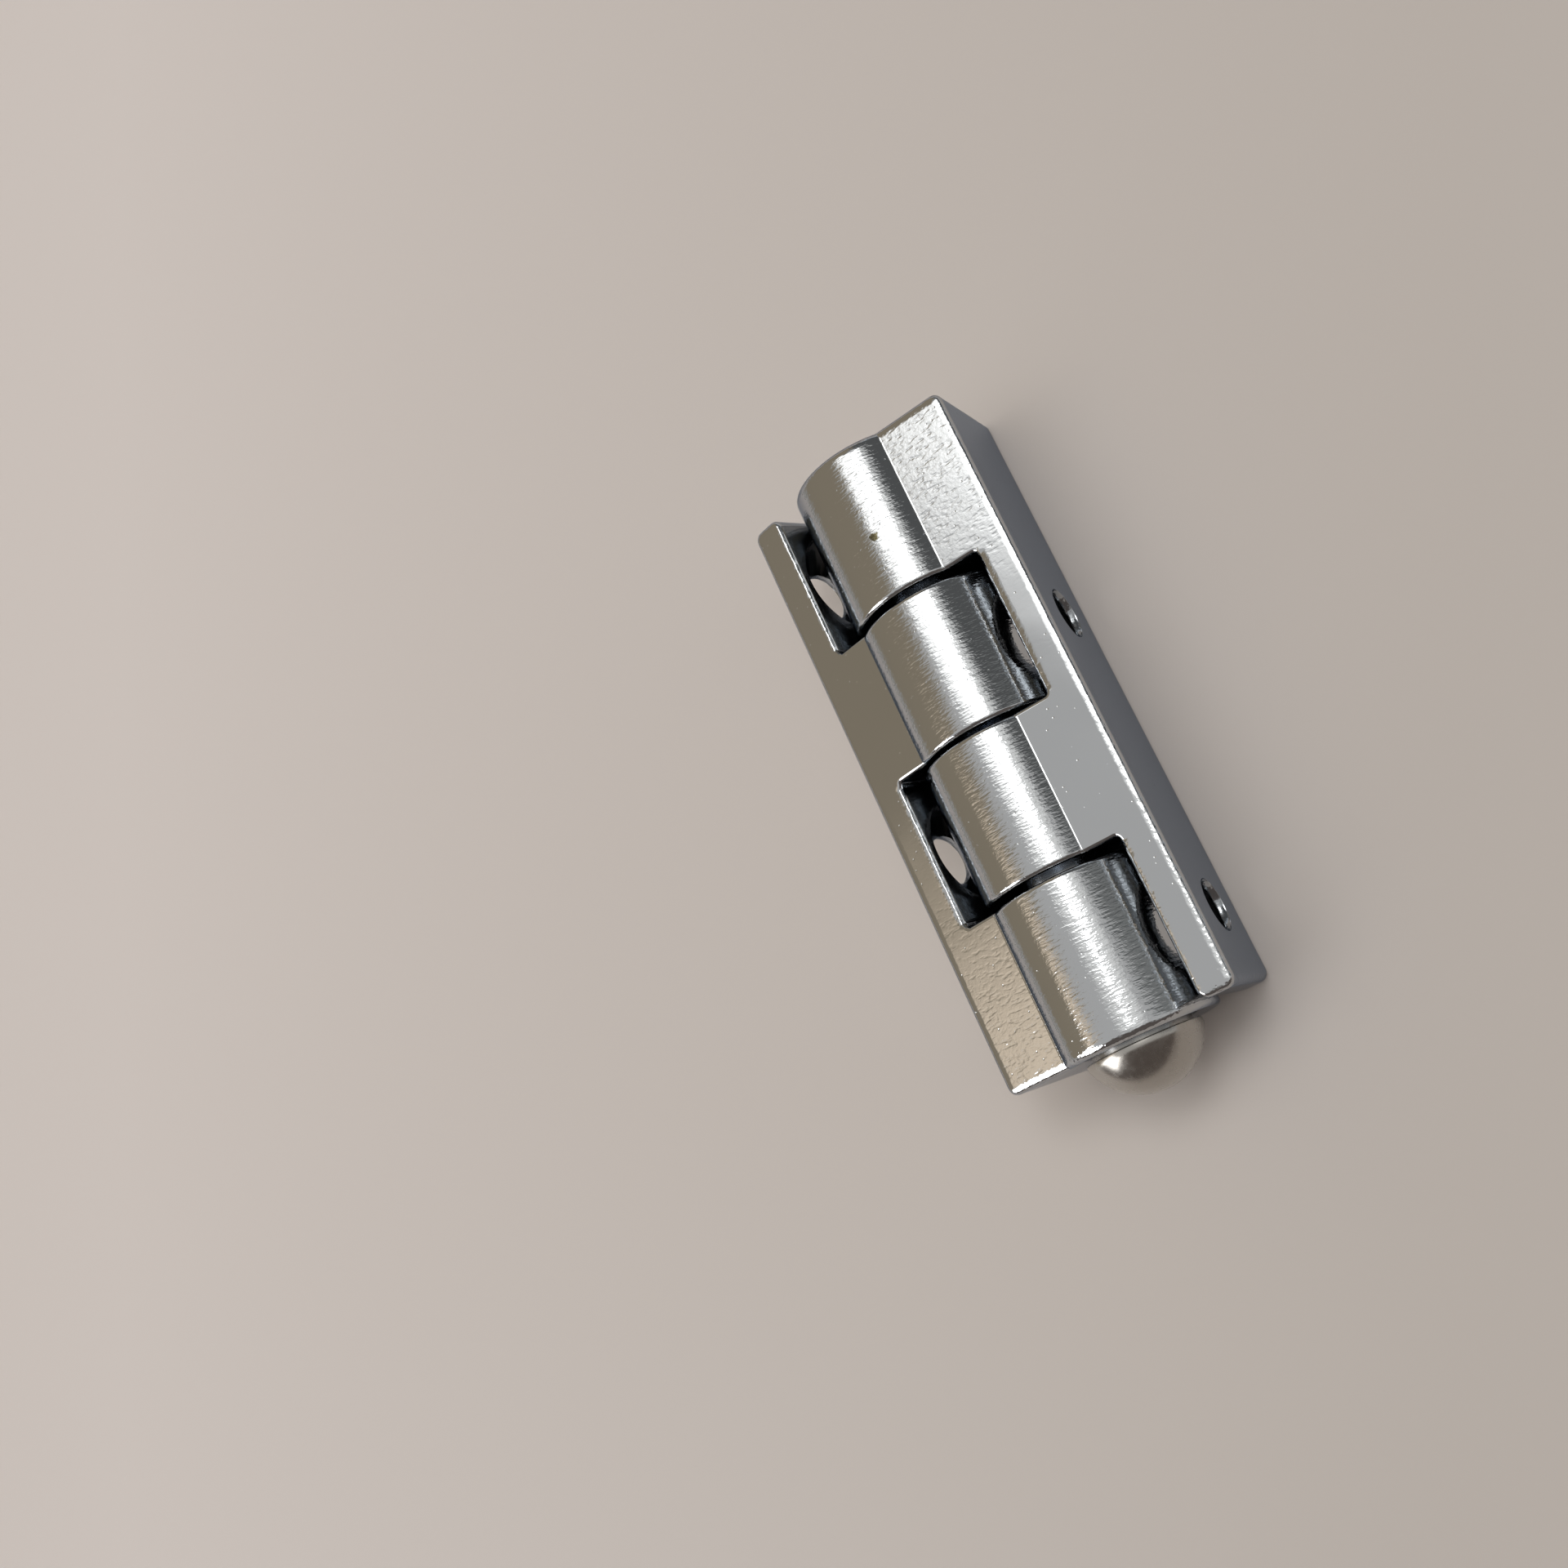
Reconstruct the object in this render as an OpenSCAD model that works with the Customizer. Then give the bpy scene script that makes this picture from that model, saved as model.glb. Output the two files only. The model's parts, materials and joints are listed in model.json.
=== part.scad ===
// Concealed block hinge: two like cast leaves that turn on one domed pin.
// The leaves lie as they come to rest: on the barrel and on both outer back edges.
// X runs along the pin towards its head, Y across the leaves, Z up from the surface below.

/* [Leaves] */
// Length of each leaf along the pin
leaf_length = 65; // [50:0.5:90]
// Thickness of a leaf from its outer face to its back face
leaf_thickness = 13.5; // [12:0.25:14.5]
// Thickness of the plate that carries the mounting face
plate_thickness = 3.75; // [3.25:0.25:6]

/* [Knuckles] */
// Outer diameter of the barrel
barrel_d = 16.5; // [15:0.25:22]
// Length of the knuckle at the end of each leaf
end_knuckle = 16.6; // [10:0.1:20]
// Gap between an end knuckle and the knuckle beside it
knuckle_gap = 0.75; // [0.4:0.05:1.2]
// Gap between the two inner knuckles
middle_gap = 0.45; // [0.3:0.05:1.2]
// How far the fixed leaf stands past the moving one at the head
leaf_lead = 0.4; // [0:0.05:1]
// Gap between a knuckle and the plate it turns past
pocket_clearance = 0.25; // [0.15:0.05:0.6]

/* [Pin] */
// Diameter of the shank
pin_d = 8; // [5:0.1:9]
// Radial play of the shank in the moving leaf
pin_clearance = 0.06; // [0.02:0.01:0.1]
// Distance from the tail of the shank to the end face
tail_inset = 0.4; // [0.1:0.1:1.5]
// Chamfer on the tail of the shank
tail_chamfer = 0.5; // [0.2:0.1:1]
// Diameter of the domed head
head_d = 12; // [11.2:0.1:14.5]
// Height of the dome above the rim
dome_h = 4.4; // [2.5:0.1:5.4]
// Height of the rim below the dome
rim_h = 0.5; // [0.2:0.05:1.5]
// Height of the seat between the rim and the end face
seat_h = 0.3; // [0.1:0.05:0.8]
// Overhang of the rim past its seat
seat_overhang = 0.8; // [0.3:0.05:1]

/* [Screw holes] */
// Diameter of the plain part of a screw hole, open to the mounting face
screw_d = 5.5; // [5.3:0.1:6.4]
// Diameter of the countersink where it opens into the pocket
countersink_d = 11.5; // [9.2:0.1:11.6]

/* [Edges] */
// Radius between the outer face and the mounting face
face_edge_r = 0.5; // [0.2:0.05:1]
// Radius between the back face and the mounting face
back_edge_r = 1; // [0.4:0.1:1.5]
// Radius of the plate's corners, seen on the outer face
plate_corner_r = 1; // [0.3:0.05:1.1]
// Radius in the corners of the pockets
pocket_r = 0.4; // [0.2:0.05:0.4]
// Radius around the ends of the leaves and knuckles
end_edge_r = 0.45; // [0.15:0.05:0.5]
// Radius of the hollow where a face runs into the barrel
valley_r = 0.25; // [0.2:0.05:1.5]

/* [Hidden] */
$fn = 96;
overlap = 0.5;

barrel_r = barrel_d / 2;
half_thickness = leaf_thickness / 2;
pocket_floor = barrel_r + pocket_clearance;
mount_reach = pocket_floor + plate_thickness;

// Stations along a leaf, measured from the end that has the end knuckle
fixed_end = leaf_length + leaf_lead;
inner_knuckle = (fixed_end - 2 * knuckle_gap - middle_gap) / 2 - end_knuckle;
inner_start = end_knuckle + knuckle_gap + inner_knuckle + middle_gap;
inner_end = inner_start + inner_knuckle;
knuckle_spans = [[0, end_knuckle], [inner_start, inner_end]];
pocket_corners = [[end_knuckle, 1], [inner_start, -1], [inner_end, 1]];

// A screw hole lies opposite the middle of each knuckle of the other leaf
screw_stations = [for (span = knuckle_spans) fixed_end - (span[0] + span[1]) / 2];

// A countersink for a screw with a right-angled head
countersink_h = (countersink_d - screw_d) / 2;

pin_r = pin_d / 2;
head_r = head_d / 2;
seat_r = head_r - seat_overhang;
head_h = seat_h + rim_h + dome_h;
dome_r = (head_r * head_r + dome_h * dome_h) / (2 * dome_h);

// Hollow between face and barrel: its centre and the point where it leaves the barrel
valley_out = half_thickness + valley_r;
valley_centre = [sqrt(pow(barrel_r + valley_r, 2) - pow(valley_out, 2)), valley_out];
valley_on_barrel = valley_centre * barrel_r / (barrel_r + valley_r);

// Droop of each leaf when the barrel and both rounded back edges touch one flat surface
edge_centre = [mount_reach - back_edge_r, half_thickness - back_edge_r];
rest_droop = asin((barrel_r - back_edge_r) / norm(edge_centre)) - atan2(edge_centre[1], edge_centre[0]);

// What rounding takes off a corner that points along +X and +Y from the origin
module corner_sliver(r) {
    difference() {
        translate([-r, -r]) square(r);
        translate([-r, -r]) circle(r);
    }
}

// A shape drawn across the leaf, pushed along the pin
module along_pin(from, to) {
    translate([from, 0, 0]) rotate([90, 0, 90]) linear_extrude(to - from) children();
}

// Cross-section of the leaf's block, from the pin's axis to the mounting face
module block_section() {
    difference() {
        translate([0, -half_thickness]) square([mount_reach, leaf_thickness]);
        translate([mount_reach, half_thickness]) corner_sliver(face_edge_r);
        translate([mount_reach, -half_thickness]) mirror([0, 1]) corner_sliver(back_edge_r);
    }
}

// Outline of the block seen on the outer face, with the pockets for the other leaf's knuckles
module block_outline() {
    difference() {
        union() {
            translate([0, pocket_floor]) square([leaf_length, plate_thickness]);
            for (span = knuckle_spans)
                translate([span[0], 0]) square([span[1] - span[0], pocket_floor + overlap]);
            for (corner = pocket_corners)
                translate([corner[0], pocket_floor])
                    mirror([corner[1] > 0 ? 1 : 0, 0]) corner_sliver(pocket_r);
        }
        translate([0, mount_reach]) mirror([1, 0]) corner_sliver(plate_corner_r);
        translate([leaf_length, mount_reach]) corner_sliver(plate_corner_r);
        translate([leaf_length, pocket_floor]) mirror([0, 1]) corner_sliver(plate_corner_r);
    }
}

// Outline of the block seen on the mounting face, with rounded ends
module block_side() {
    difference() {
        translate([0, -half_thickness]) square([leaf_length, leaf_thickness]);
        for (side = [0, 1], end = [0, 1])
            translate([end * leaf_length, (2 * side - 1) * half_thickness])
                mirror([1 - end, 0]) mirror([0, 1 - side]) corner_sliver(end_edge_r);
    }
}

module block() {
    intersection() {
        along_pin(0, leaf_length) block_section();
        translate([0, 0, -half_thickness]) linear_extrude(leaf_thickness) block_outline();
        translate([0, mount_reach, 0]) rotate([90, 0, 0]) linear_extrude(mount_reach) block_side();
    }
}

// One round knuckle with rounded end edges
module knuckle(from, to) {
    translate([from, 0, 0]) rotate([0, 90, 0]) rotate_extrude()
        difference() {
            square([barrel_r, to - from]);
            translate([barrel_r, 0]) mirror([0, 1]) corner_sliver(end_edge_r);
            translate([barrel_r, to - from]) corner_sliver(end_edge_r);
        }
}

// Fill that runs a face of the block smoothly into the barrel
module valley_fill() {
    difference() {
        polygon([
            [valley_centre[0], half_thickness],
            valley_centre,
            valley_on_barrel,
            [valley_on_barrel[0], half_thickness - overlap]
        ]);
        translate(valley_centre) circle(valley_r);
    }
}

// Screw hole through the plate, countersunk from the pocket
module screw_hole(station) {
    translate([station, pocket_floor, 0]) rotate([-90, 0, 0]) {
        translate([0, 0, -overlap]) cylinder(d = screw_d, h = plate_thickness + 2 * overlap);
        cylinder(d1 = countersink_d, d2 = screw_d, h = countersink_h);
    }
}

// One casting, lying flat: its mounting face looks along +Y and its outer face along +Z
module leaf(bore_r) {
    difference() {
        union() {
            block();
            for (span = knuckle_spans) {
                knuckle(span[0], span[1]);
                for (side = [0, 1])
                    along_pin(span[0] + end_edge_r, span[1] - end_edge_r)
                        mirror([0, side]) valley_fill();
            }
        }
        translate([-overlap, 0, 0]) rotate([0, 90, 0])
            cylinder(r = bore_r, h = leaf_length + 2 * overlap);
        for (station = screw_stations) screw_hole(station);
    }
}

// Places what is drawn from the pin's axis into the hinge's own frame
module on_axis() {
    translate([-(fixed_end + head_h) / 2, 0, barrel_r]) children();
}

// Leaf that the pin is pressed into; the same casting turned end for end
module fixed_leaf() {
    color("silver") on_axis() rotate([rest_droop, 0, 0])
        translate([fixed_end, 0, 0]) rotate([0, 0, 180]) leaf(pin_r);
}

// Leaf that turns on the pin
module moving_leaf() {
    color("silver") on_axis() rotate([-rest_droop, 0, 0]) leaf(pin_r + pin_clearance);
}

// Pin with a domed head, turned about its own axis
module hinge_pin() {
    rim_start = fixed_end + seat_h;
    dome_start = rim_start + rim_h;
    color("lightgray") on_axis() rotate([0, 90, 0]) rotate_extrude() union() {
        polygon([
            [0, tail_inset],
            [pin_r - tail_chamfer, tail_inset],
            [pin_r, tail_inset + tail_chamfer],
            [pin_r, fixed_end],
            [seat_r, fixed_end],
            [seat_r, rim_start],
            [head_r, rim_start],
            [head_r, dome_start],
            [0, dome_start]
        ]);
        intersection() {
            translate([0, dome_start + dome_h - dome_r]) circle(dome_r);
            translate([0, dome_start]) square([head_r, dome_h]);
        }
    }
}

fixed_leaf();
moving_leaf();
hinge_pin();
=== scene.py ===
import bmesh
import bpy
import json
import math
import mathutils
from mathutils import Matrix, Vector


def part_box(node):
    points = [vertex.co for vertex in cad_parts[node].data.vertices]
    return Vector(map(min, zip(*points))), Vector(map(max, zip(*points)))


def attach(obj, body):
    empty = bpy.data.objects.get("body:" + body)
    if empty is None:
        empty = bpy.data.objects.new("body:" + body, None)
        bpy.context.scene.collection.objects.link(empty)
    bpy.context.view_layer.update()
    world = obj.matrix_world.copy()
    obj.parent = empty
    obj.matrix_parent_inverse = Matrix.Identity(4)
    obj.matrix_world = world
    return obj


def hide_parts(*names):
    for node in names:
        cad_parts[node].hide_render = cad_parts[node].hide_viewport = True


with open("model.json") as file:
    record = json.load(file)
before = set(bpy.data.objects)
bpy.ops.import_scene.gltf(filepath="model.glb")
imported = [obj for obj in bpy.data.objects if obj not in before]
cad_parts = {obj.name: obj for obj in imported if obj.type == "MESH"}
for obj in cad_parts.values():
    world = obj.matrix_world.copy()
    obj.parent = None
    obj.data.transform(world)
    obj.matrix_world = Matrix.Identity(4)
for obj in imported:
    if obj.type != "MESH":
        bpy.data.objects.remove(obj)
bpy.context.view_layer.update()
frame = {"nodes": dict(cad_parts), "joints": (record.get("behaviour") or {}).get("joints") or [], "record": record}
mm = 0.001
hair = 0.001 * mm  # points closer than this count as one
print("frame loaded:", sorted(frame["nodes"]))

# places that several pieces share, all read from the frame
axisPoint = Vector(frame["joints"][0]["pos_m"])
barrelRadius = axisPoint.z  # the barrel lies on the floor
screwHoles = [m for m in frame["record"]["mounts"] if m["kind"] == "bore"]


def newObject(name, bm):
    mesh = bpy.data.meshes.new(name)
    bm.to_mesh(mesh)
    bm.free()
    ob = bpy.data.objects.new(name, mesh)
    bpy.context.scene.collection.objects.link(ob)
    return ob


def shadeSmooth(ob, sharpAngle=35):
    ob.data.shade_smooth()
    ob.data.set_sharp_from_angle(angle=math.radians(sharpAngle))
    weighted = ob.modifiers.new("faceNormals", "WEIGHTED_NORMAL")
    weighted.keep_sharp = True
    weighted.weight = 90


# node helpers
def addNode(tree, kind, **settings):
    node = tree.nodes.new(kind)
    for key, value in settings.items():
        setattr(node, key, value)
    return node


def plug(tree, value, socket):
    if hasattr(value, "is_linked"):
        tree.links.new(value, socket)
    else:
        socket.default_value = value


def calc(tree, operation, *values):
    node = addNode(tree, "ShaderNodeMath", operation=operation)
    for value, socket in zip(values, node.inputs):
        plug(tree, value, socket)
    return node.outputs[0]


def product(tree, first, *others):
    for other in others:
        first = calc(tree, "MULTIPLY", first, other)
    return first


def vectorCalc(tree, operation, first, second, output):
    node = addNode(tree, "ShaderNodeVectorMath", operation=operation)
    plug(tree, first, node.inputs[0])
    plug(tree, second, node.inputs[1])
    return node.outputs[output]


def dot(tree, first, second):
    return vectorCalc(tree, "DOT_PRODUCT", first, second, "Value")


def ramp(tree, value, low, high, toLow=0.0, toHigh=1.0, shape="SMOOTHSTEP"):
    node = addNode(tree, "ShaderNodeMapRange", interpolation_type=shape)
    ends = {"Value": value, "From Min": low, "From Max": high, "To Min": toLow, "To Max": toHigh}
    for key, number in ends.items():
        plug(tree, number, node.inputs[key])
    return node.outputs["Result"]


def fallingRamp(tree, value, low, high):
    return ramp(tree, value, low, high, 1.0, 0.0)


def mixColours(tree, factor, first, second):
    node = addNode(tree, "ShaderNodeMix", data_type="RGBA")
    colours = [s for s in node.inputs if s.type == "RGBA"]
    plug(tree, factor, node.inputs[0])
    plug(tree, first, colours[0])
    plug(tree, second, colours[1])
    return [s for s in node.outputs if s.type == "RGBA"][0]


# noise with one scale for all ways, or one for each
def noise(tree, vector, perMetre, detail=2.0, roughness=0.5):
    mapping = addNode(tree, "ShaderNodeMapping")
    tree.links.new(vector, mapping.inputs["Vector"])
    mapping.inputs["Scale"].default_value = perMetre if isinstance(perMetre, tuple) else (perMetre,) * 3
    node = addNode(tree, "ShaderNodeTexNoise")
    tree.links.new(mapping.outputs["Vector"], node.inputs["Vector"])
    for key, number in (("Scale", 1.0), ("Detail", detail), ("Roughness", roughness)):
        node.inputs[key].default_value = number
    return node.outputs["Fac"]


def addBump(tree, height, shader):
    bump = addNode(tree, "ShaderNodeBump")
    bump.inputs["Distance"].default_value = 1.0
    tree.links.new(height, bump.inputs["Height"])
    tree.links.new(bump.outputs["Normal"], shader.inputs["Normal"])


# the place itself, its place along the pin and its distance from the pin's axis, in metres
def axisPlaces(tree):
    place = addNode(tree, "ShaderNodeTexCoord").outputs["Object"]
    split = addNode(tree, "ShaderNodeSeparateXYZ")
    tree.links.new(place, split.inputs[0])
    along, across, up = split.outputs
    up = calc(tree, "SUBTRACT", up, axisPoint.z)
    squares = calc(tree, "MULTIPLY_ADD", across, across, calc(tree, "MULTIPLY", up, up))
    return place, along, calc(tree, "SQRT", squares)


# one casting in its own frame: x from the end knuckle, y towards the mounting face, z out of the outer face
leafCasting = {
    "length": 65 * mm,
    "halfThickness": 6.75 * mm,
    "buried": 4.5 * mm,          # the block starts here, inside the barrel
    "pocketFloor": 8.5 * mm,
    "mount": 12.25 * mm,
    "knuckles": ((0, 16.6 * mm), (32.925 * mm, 48.05 * mm)),
    "bore": 4.06 * mm,
    "plateCorner": 1.0 * mm,
    "pocketCorner": 0.4 * mm,
    "cornerSegments": 6,
    "rim": 0.5 * mm,             # roll of every edge but the back one
    "backEdge": 0.95 * mm,
    "rimSegments": 4,
    "barrelSegments": 240,
    "boreSegments": 128,
}

# skin of the plated casting: dents and orange peel near the end, ripples round the barrel, long waves,
# pits, buffed edges and one stain
castSkin = {
    "patchesPerMetre": 110,      # where the peel ends unevenly and the plate is hazy
    "hazeBand": (0.3, 0.7),
    "peelPerMetre": 3000,
    "peelDepth": 7e-6,
    "peelReach": 18 * mm,        # how far dents and peel run in from the end knuckle
    "peelFade": 10 * mm,
    "peelDrift": 12 * mm,
    "peelElsewhere": 0.05,
    "dentsPerMetre": (2600, 1000, 1000),
    "dentBand": (0.45, 0.8),
    "dentDepth": 9e-6,
    "ripplePerMetre": (3200, 800, 800),
    "rippleDepth": 36e-6,
    "grainPerMetre": 3600,
    "grainDepth": 10e-6,
    "wavePerMetre": 120,
    "waveDepth": 50e-6,
    "pitsPerMetre": 900,
    "pitBand": (0.04, 0.11),
    "pitDepth": 14e-6,
    "buffWidth": 0.45 * mm,      # the flats fall away this far before an edge
    "buffSlope": 0.2,
    "buffRagged": 0.3 * mm,
    "raggedPerMetre": 1500,
    "pocketFade": 0.7 * mm,      # the buffing ends this far into a pocket's corner
    "levelAgain": 0.1 * mm,      # the next face is level from this far before the edge's end
    "stainPlace": (-25.18 * mm, 1.38 * mm, 16.38 * mm),
    "stainRadius": 0.52 * mm,
    "stainCore": 0.7,            # share of the radius that is fully stained
    "stainRagged": 0.9 * mm,
    "blotchesPerMetre": 2400,
}

# bands in which one part of the skin goes over into the next, as distances
skinBands = {
    "pastEnd": (0.4 * mm, 0.7 * mm),        # in from the flat end
    "offBarrel": (0.02 * mm, 0.1 * mm),     # out from the barrel
    "belowFace": (0.6 * mm, 0.3 * mm),      # below the outer and back faces
    "abovePocket": (0.02 * mm, 0.12 * mm),  # out from the pocket's floor
    "belowMount": (0.08 * mm, 0.02 * mm),   # below the mounting face
    "plateEnds": (1.1 * mm, 1.4 * mm),      # in from both ends of the plate
}


# how far a value has gone past a limit, upwards or downwards
def beyond(tree, value, limit, way):
    past = calc(tree, "MULTIPLY", calc(tree, "SUBTRACT", value, limit), way)
    return calc(tree, "MAXIMUM", past, 0.0)


# masks over one leaf: barrel, the rest, what lies below the faces, and all that isn't the flat end
def skinMasks(tree, fromEnd, radial, depth):
    pastEnd = ramp(tree, fromEnd, *skinBands["pastEnd"])
    onBarrel = fallingRamp(tree, radial, *(barrelRadius + d for d in skinBands["offBarrel"]))
    onBarrel = product(tree, onBarrel, pastEnd)
    onFlat = calc(tree, "SUBTRACT", 1.0, onBarrel)
    sunk = fallingRamp(tree, depth, *(leafCasting["halfThickness"] - d for d in skinBands["belowFace"]))
    return onBarrel, onFlat, sunk, pastEnd


# peel and dents on the faces near the end knuckle
def peeledFaces(tree, place, fromEnd, patch, onFlat, sunk):
    onFace = ramp(tree, sunk, 0.0, 1.0, 1.0, castSkin["peelElsewhere"])
    drift = calc(tree, "MULTIPLY_ADD", patch, castSkin["peelDrift"], fromEnd)
    peelEnd = castSkin["peelReach"]
    nearEnd = ramp(tree, drift, peelEnd, peelEnd + castSkin["peelFade"], 1.0, castSkin["peelElsewhere"])
    peel = noise(tree, place, castSkin["peelPerMetre"])
    peel = product(tree, peel, castSkin["peelDepth"])
    dents = noise(tree, place, castSkin["dentsPerMetre"], detail=1.0, roughness=0.4)
    dents = ramp(tree, dents, *castSkin["dentBand"])
    peel = calc(tree, "MULTIPLY_ADD", dents, -castSkin["dentDepth"], peel)
    return product(tree, peel, onFlat, onFace, nearEnd)


# ripples and grain on the barrel, waves and pits all over
def rippledBarrel(tree, place, onBarrel, height):
    ripple = noise(tree, place, castSkin["ripplePerMetre"], roughness=0.6)
    ripple = product(tree, ripple, castSkin["rippleDepth"])
    grain = noise(tree, place, castSkin["grainPerMetre"], detail=1.0)
    ripple = calc(tree, "MULTIPLY_ADD", grain, castSkin["grainDepth"], ripple)
    height = calc(tree, "MULTIPLY_ADD", ripple, onBarrel, height)
    wave = noise(tree, place, castSkin["wavePerMetre"], detail=1.0, roughness=0.4)
    height = calc(tree, "MULTIPLY_ADD", wave, castSkin["waveDepth"], height)
    cells = addNode(tree, "ShaderNodeTexVoronoi")
    cells.inputs["Scale"].default_value = castSkin["pitsPerMetre"]
    tree.links.new(place, cells.inputs["Vector"])
    pits = fallingRamp(tree, cells.outputs["Distance"], *castSkin["pitBand"])
    return calc(tree, "MULTIPLY_ADD", pits, -castSkin["pitDepth"], height)


# edges that the buffing wheel has rolled off, unevenly
def buffedEdges(tree, place, fromEnd, reach, onFlat, height):
    ragged = calc(tree, "SUBTRACT", noise(tree, place, castSkin["raggedPerMetre"]), 0.5)
    ragged = product(tree, ragged, castSkin["buffRagged"])
    alongLeaf = calc(tree, "ADD", fromEnd, ragged)
    acrossLeaf = calc(tree, "ADD", reach, ragged)
    margin = leafCasting["rim"] + castSkin["buffWidth"]
    (_, firstEnd), (innerStart, innerEnd) = leafCasting["knuckles"]
    fade = castSkin["pocketFade"]
    closedPocket = product(tree, ramp(tree, fromEnd, firstEnd, firstEnd + fade),
                           fallingRamp(tree, fromEnd, innerStart - fade, innerStart))
    atPocket = calc(tree, "ADD", closedPocket, ramp(tree, fromEnd, innerEnd, innerEnd + fade))
    pocketSide = beyond(tree, acrossLeaf, leafCasting["pocketFloor"] + margin, -1.0)
    falls = [
        beyond(tree, acrossLeaf, leafCasting["mount"] - margin, 1.0),
        beyond(tree, alongLeaf, margin, -1.0),
        beyond(tree, alongLeaf, leafCasting["length"] - margin, 1.0),
        product(tree, pocketSide, atPocket, onFlat),
    ]
    steepness = -castSkin["buffSlope"] / (2 * castSkin["buffWidth"])
    for fall in falls:
        fall = calc(tree, "MINIMUM", fall, margin - castSkin["levelAgain"])
        height = calc(tree, "MULTIPLY_ADD", calc(tree, "MULTIPLY", fall, fall), steepness, height)
    return height


# dull walls in the pockets and in the holes, their darker tone also painted shade
def dullAndShadedWalls(tree, fromEnd, reach, onFlat, sunk, pastEnd):
    walls = product(tree, sunk, onFlat, pastEnd)
    pocket = fallingRamp(tree, reach, *(leafCasting["pocketFloor"] + d for d in skinBands["abovePocket"]))
    hole = fallingRamp(tree, reach, *(leafCasting["mount"] - d for d in skinBands["belowMount"]))
    outer, inner = skinBands["plateEnds"]
    length = leafCasting["length"]
    hole = product(tree, hole, ramp(tree, fromEnd, outer, inner),
                   fallingRamp(tree, fromEnd, length - inner, length - outer), walls)
    return calc(tree, "MAXIMUM", product(tree, pocket, walls), hole)


def brownStain(tree, place):
    toStain = vectorCalc(tree, "DISTANCE", place, castSkin["stainPlace"], "Value")
    blotch = noise(tree, place, castSkin["blotchesPerMetre"], detail=3.0, roughness=0.6)
    blotch = calc(tree, "SUBTRACT", blotch, 0.5)
    edge = calc(tree, "MULTIPLY_ADD", blotch, castSkin["stainRagged"], toStain)
    return fallingRamp(tree, edge, castSkin["stainRadius"] * castSkin["stainCore"], castSkin["stainRadius"])


def buildCastSkin():
    tree = bpy.data.node_groups.new("castSkin", "ShaderNodeTree")
    for name, kind in (("EndX", "Float"), ("EndWay", "Float"), ("Reach", "Vector"), ("Out", "Vector")):
        tree.interface.new_socket(name, in_out="INPUT", socket_type="NodeSocket" + kind)
    for name in ("Height", "Stain", "Recess", "Haze"):
        tree.interface.new_socket(name, in_out="OUTPUT", socket_type="NodeSocketFloat")
    entry = addNode(tree, "NodeGroupInput").outputs
    outlet = addNode(tree, "NodeGroupOutput").inputs
    place, along, radial = axisPlaces(tree)
    fromEnd = product(tree, calc(tree, "SUBTRACT", along, entry["EndX"]), entry["EndWay"])
    fromAxis = vectorCalc(tree, "SUBTRACT", place, axisPoint, "Vector")
    reach = dot(tree, fromAxis, entry["Reach"])
    depth = calc(tree, "ABSOLUTE", dot(tree, fromAxis, entry["Out"]))
    onBarrel, onFlat, sunk, pastEnd = skinMasks(tree, fromEnd, radial, depth)
    patch = noise(tree, place, castSkin["patchesPerMetre"])
    height = peeledFaces(tree, place, fromEnd, patch, onFlat, sunk)
    height = rippledBarrel(tree, place, onBarrel, height)
    results = {
        "Height": buffedEdges(tree, place, fromEnd, reach, onFlat, height),
        "Stain": brownStain(tree, place),
        "Recess": dullAndShadedWalls(tree, fromEnd, reach, onFlat, sunk, pastEnd),
        "Haze": ramp(tree, patch, *castSkin["hazeBand"]),
    }
    for name, value in results.items():
        tree.links.new(value, outlet[name])
    return tree


def metalMaterial(name):
    mat = bpy.data.materials.new(name)
    mat.use_nodes = True
    shader = mat.node_tree.nodes["Principled BSDF"]
    shader.inputs["Metallic"].default_value = 1.0
    return mat, mat.node_tree, shader


chrome = {
    "plate": (0.553, 0.567, 0.58, 1),
    "edgeOn": (0.44, 0.49, 0.57, 1),   # tint where a face is seen edge on
    "stain": (0.13, 0.115, 0.065, 1),
    # darker tone of pocket and hole walls: dull plating and painted shade
    "pocket": (0.38, 0.4, 0.42, 1),
    "roughness": (0.07, 0.1),
    "pocketRoughness": 0.14,
}


def chromeMaterial(name, skin, endX, endWay, reach):
    mat, tree, shader = metalMaterial(name)
    shader.inputs["Specular Tint"].default_value = chrome["edgeOn"]
    group = addNode(tree, "ShaderNodeGroup", node_tree=skin)
    out = Vector((endWay, 0, 0)).cross(reach)
    for key, value in {"EndX": endX, "EndWay": endWay, "Reach": reach, "Out": out}.items():
        group.inputs[key].default_value = value
    tone = mixColours(tree, group.outputs["Stain"], chrome["plate"], chrome["stain"])
    # pockets and holes darkened: dull plating and painted shade
    tone = mixColours(tree, group.outputs["Recess"], tone, chrome["pocket"])
    tree.links.new(tone, shader.inputs["Base Color"])
    polish = ramp(tree, group.outputs["Haze"], 0.0, 1.0, *chrome["roughness"])
    polish = ramp(tree, group.outputs["Recess"], 0.0, 1.0, polish, chrome["pocketRoughness"])
    tree.links.new(polish, shader.inputs["Roughness"])
    addBump(tree, group.outputs["Height"], shader)
    return mat


# satin steel of the pin, with faint turning rings
satinSteel = {
    "tone": (0.46, 0.44, 0.41, 1),
    "ringsPerMetre": 5200,
    "ringDepth": 0.8e-6,
    "grainPerMetre": 900,
    "grainBand": (0.3, 0.7),
    "roughness": (0.2, 0.3),
}


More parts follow.
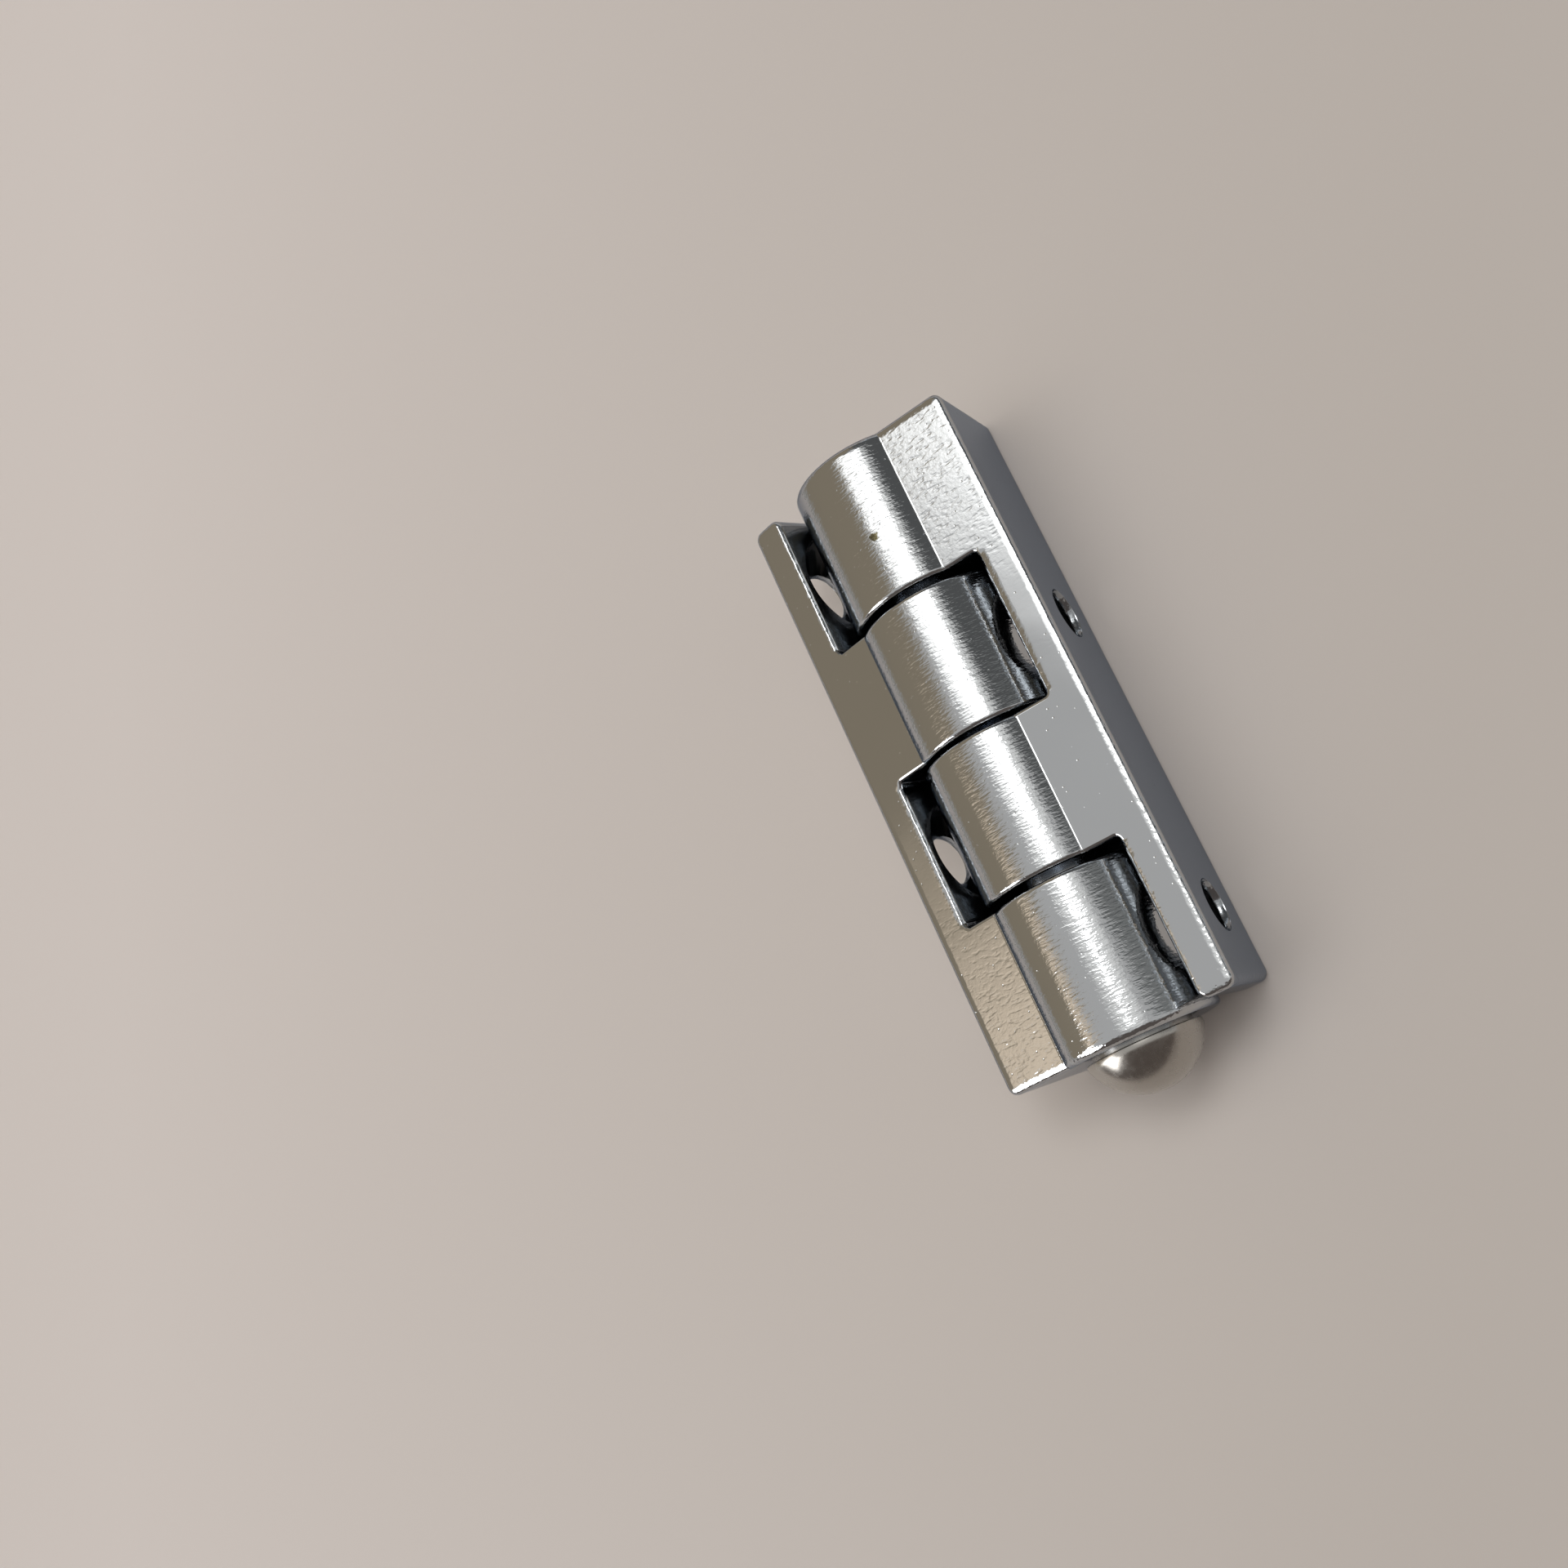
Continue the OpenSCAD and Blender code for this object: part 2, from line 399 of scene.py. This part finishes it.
def satinMaterial():
    mat, tree, shader = metalMaterial("satinSteel")
    shader.inputs["Base Color"].default_value = satinSteel["tone"]
    place, along, radial = axisPlaces(tree)
    turned = addNode(tree, "ShaderNodeCombineXYZ")
    tree.links.new(along, turned.inputs["X"])
    tree.links.new(radial, turned.inputs["Y"])
    rings = noise(tree, turned.outputs[0], satinSteel["ringsPerMetre"], detail=3.0, roughness=0.6)
    grain = noise(tree, place, satinSteel["grainPerMetre"], detail=3.0, roughness=0.6)
    polish = ramp(tree, grain, *satinSteel["grainBand"], *satinSteel["roughness"])
    tree.links.new(polish, shader.inputs["Roughness"])
    addBump(tree, product(tree, rings, satinSteel["ringDepth"]), shader)
    return mat


# holes for countersunk screws, wide at the pocket
screwHole = {
    "radius": 2.75 * mm,
    "countersink": 5.75 * mm,
    "land": 0.75 * mm,     # plain wall left at the mounting face
    "mouth": 0.05 * mm,    # break of the edge round the mouth
    "mouthSegments": 2,
    "flash": 0.14 * mm,    # unevenness of the cast edge inside
    "flashPerMetre": 1300,
    "segments": 96,
}


def near(value, target):
    return abs(value - target) < hair


def rollEdges(bm, edges, radius, segments):
    bmesh.ops.bevel(bm, geom=edges, offset=radius, offset_type="OFFSET", affect="EDGES",
                    segments=segments, profile=0.5, material=-1)


def pushFace(bm, face, way):
    grown = bmesh.ops.extrude_face_region(bm, geom=[face])["geom"]
    bmesh.ops.translate(bm, vec=way, verts=[g for g in grown if isinstance(g, bmesh.types.BMVert)])


# block of the leaf with its pockets, upright corners rounded and rims marked for the bevel
def drawBlock():
    half, mount, floor = leafCasting["halfThickness"], leafCasting["mount"], leafCasting["pocketFloor"]
    buried, length = leafCasting["buried"], leafCasting["length"]
    (start, firstEnd), (innerStart, innerEnd) = leafCasting["knuckles"]
    outline = [
        (start, buried), (firstEnd, buried), (firstEnd, floor), (innerStart, floor), (innerStart, buried),
        (innerEnd, buried), (innerEnd, floor), (length, floor), (length, mount), (start, mount),
    ]
    bm = bmesh.new()
    face = bm.faces.new([bm.verts.new((x, y, -half)) for x, y in outline])
    pushFace(bm, face, (0, 0, 2 * half))
    bmesh.ops.recalc_face_normals(bm, faces=bm.faces)
    plateCorners = ((length, floor), (length, mount), (start, mount))
    pocketCorners = ((firstEnd, floor), (innerStart, floor), (innerEnd, floor))
    for corners, radius in ((plateCorners, "plateCorner"), (pocketCorners, "pocketCorner")):
        upright = []
        for e in bm.edges:
            a, b = (v.co for v in e.verts)
            if not near(a.z, b.z) and any(near(a.x, x) and near(a.y, y) for x, y in corners):
                upright.append(e)
        rollEdges(bm, upright, leafCasting[radius], leafCasting["cornerSegments"])
    weights = bm.edges.layers.float.new("bevel_weight_edge")
    rim, back = leafCasting["rim"], leafCasting["backEdge"]
    for e in bm.edges:
        a, b = (v.co for v in e.verts)
        if not near(a.z, b.z) or near(a.y + b.y, 2 * buried):
            continue
        fuller = 0.0  # the back edge is rounder, and its ends run over into the rest
        if a.z < 0:
            cornerStart = mount - leafCasting["plateCorner"]
            fuller = max(0.0, ((a.y + b.y) / 2 - cornerStart) / leafCasting["plateCorner"])
        e[weights] = (rim + (back - rim) * fuller) / back
    block = newObject("block", bm)
    bevel = block.modifiers.new("rims", "BEVEL")
    bevel.limit_method = "WEIGHT"
    bevel.offset_type = "OFFSET"
    bevel.width = back
    bevel.segments = leafCasting["rimSegments"]
    return block


def addRod(bm, fromPoint, toPoint, radius, segments, endRadius=None):
    way = toPoint - fromPoint
    turn = way.to_track_quat("Z", "Y").to_matrix().to_4x4()
    matrix = Matrix.Translation((fromPoint + toPoint) / 2) @ turn
    bmesh.ops.create_cone(bm, cap_ends=True, segments=segments, radius1=radius,
                          radius2=endRadius or radius, depth=way.length, matrix=matrix)


def drawKnuckles():
    bm = bmesh.new()
    for start, end in leafCasting["knuckles"]:
        addRod(bm, Vector((start, 0, 0)), Vector((end, 0, 0)), barrelRadius, leafCasting["barrelSegments"])
    rims = [e for e in bm.edges if near(e.verts[0].co.x, e.verts[1].co.x)]
    rollEdges(bm, rims, leafCasting["rim"], leafCasting["rimSegments"])
    return newObject("knuckles", bm)


def drawCutters(stations):
    bm = bmesh.new()
    over = 1 * mm  # how far a cutter stands out past what it cuts
    boreEnd = Vector((leafCasting["length"] + over, 0, 0))
    addRod(bm, Vector((-over, 0, 0)), boreEnd, leafCasting["bore"], leafCasting["boreSegments"])
    for x in stations:
        wide = Vector((x, leafCasting["pocketFloor"] - over, 0))
        narrow = Vector((x, leafCasting["mount"] - screwHole["land"], 0))
        addRod(bm, wide, narrow, screwHole["countersink"] + over, screwHole["segments"],
               screwHole["radius"])
        cap = min(bm.faces, key=lambda f: (f.calc_center_median() - narrow).length)
        pushFace(bm, cap, (0, screwHole["land"] + over, 0))
        bmesh.ops.delete(bm, geom=[cap], context="FACES_ONLY")
    bmesh.ops.recalc_face_normals(bm, faces=bm.faces)
    return newObject("cutters", bm)


# joins the knuckles to the block, cuts the bore and the holes, and hands back the finished mesh
def joinAndCut(block, knuckles, cutters):
    for other, operation in ((knuckles, "UNION"), (cutters, "DIFFERENCE")):
        step = block.modifiers.new(other.name, "BOOLEAN")
        step.operation = operation
        step.solver = "EXACT"
        step.object = other
    bm = bmesh.new()
    bm.from_object(block, bpy.context.evaluated_depsgraph_get())
    for ob in (block, knuckles, cutters):
        bpy.data.meshes.remove(ob.data)  # takes the object with it
    bmesh.ops.remove_doubles(bm, verts=bm.verts, dist=hair)
    bmesh.ops.dissolve_degenerate(bm, edges=bm.edges, dist=hair)
    return bm


# breaks the mouths of the screw holes and leaves their inner edges uneven, as cast
def finishHoles(bm, stations):
    inner = leafCasting["mount"] - screwHole["land"]

    def inHole(co):
        return min(math.hypot(co.x - x, co.z) for x in stations) < screwHole["radius"] + 10 * hair

    mouths = [e for e in bm.edges
              if all(near(v.co.y, leafCasting["mount"]) and inHole(v.co) for v in e.verts)]
    rollEdges(bm, mouths, screwHole["mouth"], screwHole["mouthSegments"])
    for v in bm.verts:
        if near(v.co.y, inner) and inHole(v.co):
            v.co.y += screwHole["flash"] * mathutils.noise.noise(v.co * screwHole["flashPerMetre"])


def castLeaf(node, body, material, matrix, stations):
    bm = joinAndCut(drawBlock(), drawKnuckles(), drawCutters(stations))
    finishHoles(bm, stations)
    bmesh.ops.transform(bm, matrix=matrix, verts=bm.verts)
    bmesh.ops.recalc_face_normals(bm, faces=bm.faces)
    leaf = newObject(node + "_casting", bm)
    shadeSmooth(leaf)
    leaf.data.materials.append(material)
    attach(leaf, body)
    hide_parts(node)


# the pin, turned from one profile
pinTurning = {
    "shank": 4.0 * mm,
    "tailChamfer": 0.5 * mm,
    "seatOverhang": 0.8 * mm,
    "seat": 0.3 * mm,
    "rim": 0.5 * mm,
    "dome": 4.4 * mm,
    "rimBreak": 0.12 * mm,
    "domeSteps": 28,
    "steps": 160,
}


def turnPin(material):
    low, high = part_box("hinge_pin")
    head = (high.z - low.z) / 2
    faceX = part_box("fixed_leaf")[1].x
    rimX = faceX + pinTurning["seat"]
    domeX = rimX + pinTurning["rim"]
    domeRadius = (head ** 2 + pinTurning["dome"] ** 2) / (2 * pinTurning["dome"])
    domeCentre = Vector((domeX + pinTurning["dome"] - domeRadius, 0, axisPoint.z))
    rimBreak = pinTurning["rimBreak"]
    outline = [
        (low.x, 0),
        (low.x, pinTurning["shank"] - pinTurning["tailChamfer"]),
        (low.x + pinTurning["tailChamfer"], pinTurning["shank"]),
        (faceX, pinTurning["shank"]),
        (faceX, head - pinTurning["seatOverhang"]),
        (rimX, head - pinTurning["seatOverhang"]),
        (rimX, head - rimBreak),
        (rimX + rimBreak, head),
        (domeX, head),
    ]
    bm = bmesh.new()
    verts = [bm.verts.new((x, 0, axisPoint.z + r)) for x, r in outline]
    for first, second in zip(verts, verts[1:]):
        bm.edges.new((first, second))
    sweep = math.atan2(head, domeX - domeCentre.x)
    bmesh.ops.spin(bm, geom=[verts[-1]], cent=domeCentre, axis=(0, 1, 0), angle=sweep,
                   steps=pinTurning["domeSteps"])
    bmesh.ops.spin(bm, geom=list(bm.verts) + list(bm.edges), cent=(0, 0, axisPoint.z), axis=(1, 0, 0),
                   angle=2 * math.pi, steps=pinTurning["steps"], use_merge=True)
    bmesh.ops.remove_doubles(bm, verts=bm.verts, dist=hair)
    bmesh.ops.recalc_face_normals(bm, faces=bm.faces)
    pin = newObject("domed_pin", bm)
    shadeSmooth(pin)
    pin.data.materials.append(material)
    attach(pin, "fixed_side")
    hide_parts("hinge_pin")


skin = buildCastSkin()
leafBody = {"fixed_leaf": "fixed_side", "moving_leaf": "moving_side"}
for node, body in leafBody.items():
    low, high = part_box(node)
    headEnd = node == "fixed_leaf"  # its end knuckle is the one beside the head
    endX, endWay = (high.x, -1.0) if headEnd else (low.x, 1.0)
    ownHoles = [h for h in screwHoles if h["name"].startswith(node)]
    reach = Vector(ownHoles[0]["axis"])
    along = Vector((endWay, 0, 0))
    matrix = Matrix((along, reach, along.cross(reach))).transposed().to_4x4()
    matrix.translation = (endX, axisPoint.y, axisPoint.z)
    stations = [(h["pos_m"][0] - endX) * endWay for h in ownHoles]
    look = chromeMaterial("chrome_" + node, skin, endX, endWay, reach)
    castLeaf(node, body, look, matrix, stations)
print("leaves made")
turnPin(satinMaterial())
print("pin made")

# floor, with painted light: paler towards the side where more light falls
floorLook = {
    "size": 3.0,
    "tone": (0.726, 0.669, 0.63, 1),
    "paintedLightTone": (0.944, 0.874, 0.843, 1),
    "paintedLightTowards": (-0.48, -0.877, 0.0),
    "paintedLightBand": (-42 * mm, 165 * mm),
    "roughness": 0.55,
    "specular": 0.2,
}


def layFloor():
    bm = bmesh.new()
    bmesh.ops.create_grid(bm, x_segments=1, y_segments=1, size=floorLook["size"] / 2)
    floor = newObject("floor", bm)
    mat = bpy.data.materials.new("tableWithPaintedLight")
    mat.use_nodes = True
    tree = mat.node_tree
    shader = tree.nodes["Principled BSDF"]
    place = addNode(tree, "ShaderNodeTexCoord").outputs["Object"]
    sideways = dot(tree, place, floorLook["paintedLightTowards"])
    # painted light: the floor's tone grows paler towards the side where more light falls
    paintedLight = ramp(tree, sideways, *floorLook["paintedLightBand"], shape="LINEAR")
    tone = mixColours(tree, paintedLight, floorLook["tone"], floorLook["paintedLightTone"])
    tree.links.new(tone, shader.inputs["Base Color"])
    shader.inputs["Roughness"].default_value = floorLook["roughness"]
    shader.inputs["Specular IOR Level"].default_value = floorLook["specular"]
    floor.data.materials.append(mat)


layFloor()
print("floor laid")

# room light: grey ceiling that brightens to one side, warm wall, dim and dark sides
room = {
    "ceiling": {"tone": (0.6, 0.595, 0.585, 1), "lowest": 0.05},
    "glow": {"tone": (1.1, 1.09, 1.06, 1), "towards": (-0.26, 0.36, 0.9), "spread": (0.9, 0.99)},
    "panel": {"tone": (2.05, 2.03, 1.98, 1), "slope": 0.9, "slant": (0.195, 0.36), "x": (-0.28, -0.16),
              "y": (0.4, 0.65)},
    "farEnd": {"tone": (0.28, 0.275, 0.27, 1), "x": (-0.62, -0.44)},
    "wall": {"tone": (0.32, 0.27, 0.2, 1), "towards": (-0.763, -0.647, 0.0), "spread": (0.34, 0.5)},
    "warmEnd": {"tone": (1.03, 0.85, 0.65, 1), "x": (-0.227, -0.073), "z": (0.6, 0.72)},
    "skirting": {"tone": (0.42, 0.4, 0.37, 1), "z": (0.06, 0.16)},
    "farSide": {"tone": (0.12, 0.122, 0.122, 1), "slope": -0.84, "slant": (0.79, 0.97)},
    "farSideNear": {"tone": (0.25, 0.255, 0.25, 1), "x": (-0.28, -0.12)},
    "skyline": {"tone": (0.5, 0.54, 0.58, 1), "z": (0.1, 0.22)},
    "dark": {"tone": (0.13, 0.11, 0.1, 1), "x": (0.25, 0.45)},
}
# two soft boxes that the chrome shows, and one that only fills in on the floor
softBoxes = [
    {"name": "stripBox", "place": (-0.26, 0.32, 0.9), "size": (0.31, 0.29), "radiance": 2.8,
     "lightsFloor": True, "inChrome": True},
    {"name": "frontBox", "place": (0.235, -0.43, 0.345), "size": (0.32, 0.32), "radiance": 4.5,
     "lightsFloor": False, "inChrome": True},
    {"name": "fillBox", "place": (-0.15, -0.28, 0.9), "size": (0.6, 0.6), "radiance": 0.9,
     "lightsFloor": True, "inChrome": False},
]


# ceiling with its glow and the bright panel, which is laid out on a level ceiling one unit up
def ceilingLight(tree, towards, x, y, z):
    overhead = calc(tree, "MAXIMUM", z, room["ceiling"]["lowest"])
    ceilingX = calc(tree, "DIVIDE", x, overhead)
    ceilingY = calc(tree, "DIVIDE", y, overhead)
    glow, panel = room["glow"], room["panel"]
    glowing = dot(tree, towards, Vector(glow["towards"]).normalized())
    light = mixColours(tree, ramp(tree, glowing, *glow["spread"]), room["ceiling"]["tone"], glow["tone"])
    slant = calc(tree, "SUBTRACT", calc(tree, "MULTIPLY", ceilingY, panel["slope"]), ceilingX)
    onPanel = product(tree, ramp(tree, slant, *panel["slant"], shape="LINEAR"),
                      fallingRamp(tree, ceilingX, *panel["x"]), fallingRamp(tree, ceilingY, *panel["y"]))
    return mixColours(tree, onPanel, light, panel["tone"])


def wallLight(tree, x, z):
    warmEnd, skirting = room["warmEnd"], room["skirting"]
    warm = product(tree, ramp(tree, x, *warmEnd["x"], shape="LINEAR"), ramp(tree, z, *warmEnd["z"]))
    wall = mixColours(tree, warm, room["wall"]["tone"], warmEnd["tone"])
    return mixColours(tree, fallingRamp(tree, z, *skirting["z"]), wall, skirting["tone"])


def farSideLight(tree, x, z):
    nearPart, skyline = room["farSideNear"], room["skyline"]
    side = mixColours(tree, ramp(tree, x, *nearPart["x"]), room["farSide"]["tone"], nearPart["tone"])
    return mixColours(tree, ramp(tree, z, *skyline["z"]), skyline["tone"], side)


def buildWorld():
    world = bpy.data.worlds.new("room")
    bpy.context.scene.world = world
    world.use_nodes = True
    tree = world.node_tree
    towards = addNode(tree, "ShaderNodeTexCoord").outputs["Generated"]
    split = addNode(tree, "ShaderNodeSeparateXYZ")
    tree.links.new(towards, split.inputs[0])
    x, y, z = split.outputs
    farEnd, wall, farSide, dark = room["farEnd"], room["wall"], room["farSide"], room["dark"]
    light = ceilingLight(tree, towards, x, y, z)
    light = mixColours(tree, fallingRamp(tree, x, *farEnd["x"]), light, farEnd["tone"])
    onWall = ramp(tree, dot(tree, towards, wall["towards"]), *wall["spread"])
    light = mixColours(tree, onWall, light, wallLight(tree, x, z))
    sideways = calc(tree, "MULTIPLY_ADD", x, farSide["slope"], y)
    light = mixColours(tree, ramp(tree, sideways, *farSide["slant"]), light, farSideLight(tree, x, z))
    light = mixColours(tree, ramp(tree, x, *dark["x"]), light, dark["tone"])
    tree.links.new(light, tree.nodes["Background"].inputs["Color"])


def hangSoftBox(box):
    lamp = bpy.data.lights.new(box["name"], "AREA")
    lamp.shape = "RECTANGLE"
    lamp.size, lamp.size_y = box["size"]
    lamp.energy = box["radiance"] * math.pi * box["size"][0] * box["size"][1]
    ob = bpy.data.objects.new(box["name"], lamp)
    ob.location = box["place"]
    ob.rotation_euler = Vector(box["place"]).to_track_quat("Z", "Y").to_euler()
    ob.visible_diffuse = box["lightsFloor"]
    ob.visible_glossy = box["inChrome"]
    bpy.context.scene.collection.objects.link(ob)


buildWorld()
for box in softBoxes:
    hangSoftBox(box)
print("room lit")

# camera at the photograph's angle
shot = {
    "place": Vector((0.039327, 0.070846, 0.160079)),
    "towards": Vector((-0.27149, -0.51548, -0.81276)),
    "up": Vector((-0.87982, 0.47525, -0.00753)),
    "focal": 2077 / 1920,  # focal length over image width
    "sensorWidth": 36,
    "clipStart": 5 * mm,
}


def placeCamera():
    camera = bpy.data.cameras.new("camera")
    camera.sensor_fit = "HORIZONTAL"
    camera.sensor_width = shot["sensorWidth"]
    camera.lens = shot["sensorWidth"] * shot["focal"]
    camera.clip_start = shot["clipStart"]
    ob = bpy.data.objects.new("camera", camera)
    back = -shot["towards"].normalized()
    right = shot["up"].cross(back).normalized()
    turn = Matrix((right, back.cross(right), back)).transposed().to_4x4()
    ob.matrix_world = Matrix.Translation(shot["place"]) @ turn
    bpy.context.scene.collection.objects.link(ob)
    bpy.context.scene.camera = ob


placeCamera()
bpy.context.scene.view_settings.view_transform = "Standard"
